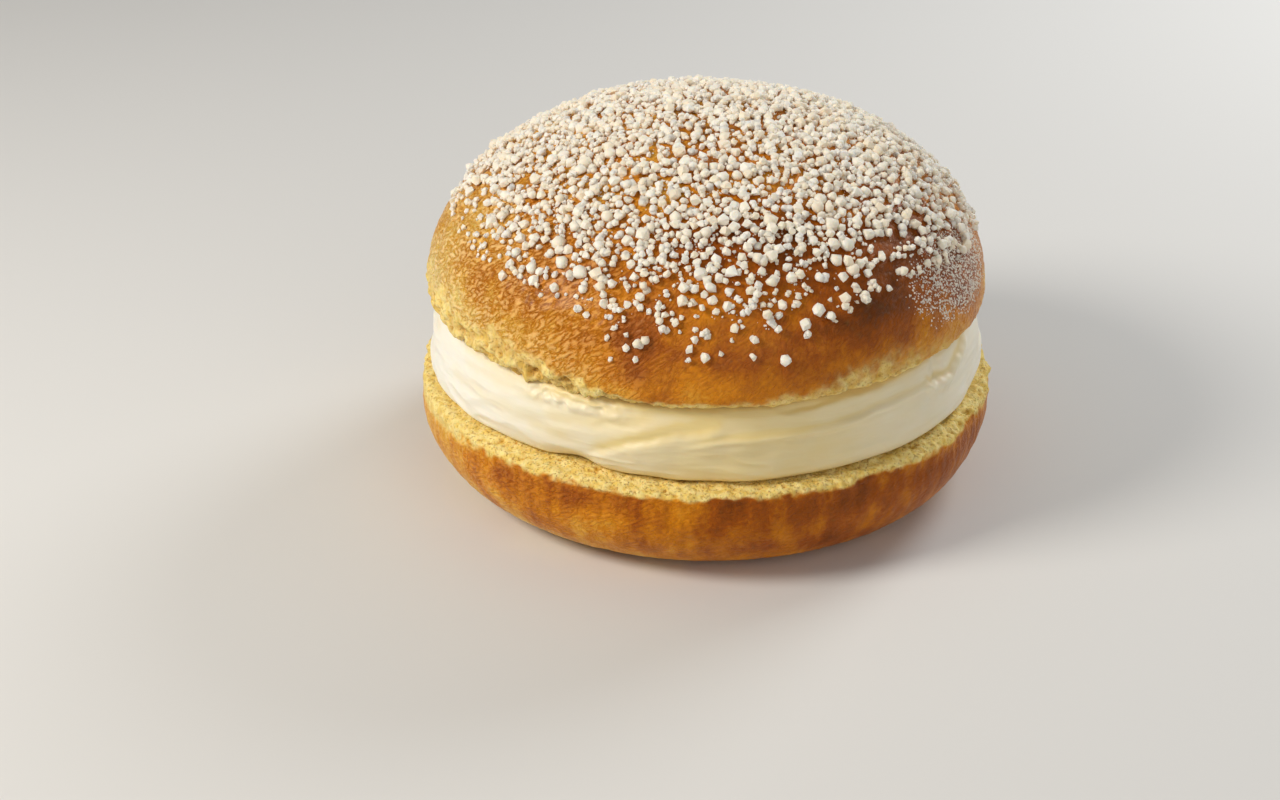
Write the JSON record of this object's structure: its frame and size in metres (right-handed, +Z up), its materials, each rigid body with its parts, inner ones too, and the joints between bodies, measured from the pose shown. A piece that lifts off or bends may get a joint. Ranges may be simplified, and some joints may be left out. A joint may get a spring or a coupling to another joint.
{
  "type": "filled brioche bun",
  "caption": "Round brioche bun sliced across, filled with a thick layer of whipped custard cream, its domed top strewn with pearl sugar.",
  "frame": {"origin": "centre of the bun's outline, on the surface that it stands on", "axes": "+Z up through the crown of the domed top, -Y the side that the picture shows, +X to the right of that side"},
  "size_m": [0.1043, 0.1052, 0.0678],
  "materials": {
    "brioche_crust": "baked golden-brown crust with a soft sheen, pale yellow crumb where it's cut",
    "cream": "ivory whipped custard cream, smooth and satin, smeared by a spatula",
    "sugared_crust": "egg-washed golden-brown crust with opaque white pearl sugar"
  },
  "bodies": {
    "root": {"brioche_base": "brioche_crust", "cream_filling": "cream", "brioche_top": "sugared_crust"}
  },
  "joints": []
}
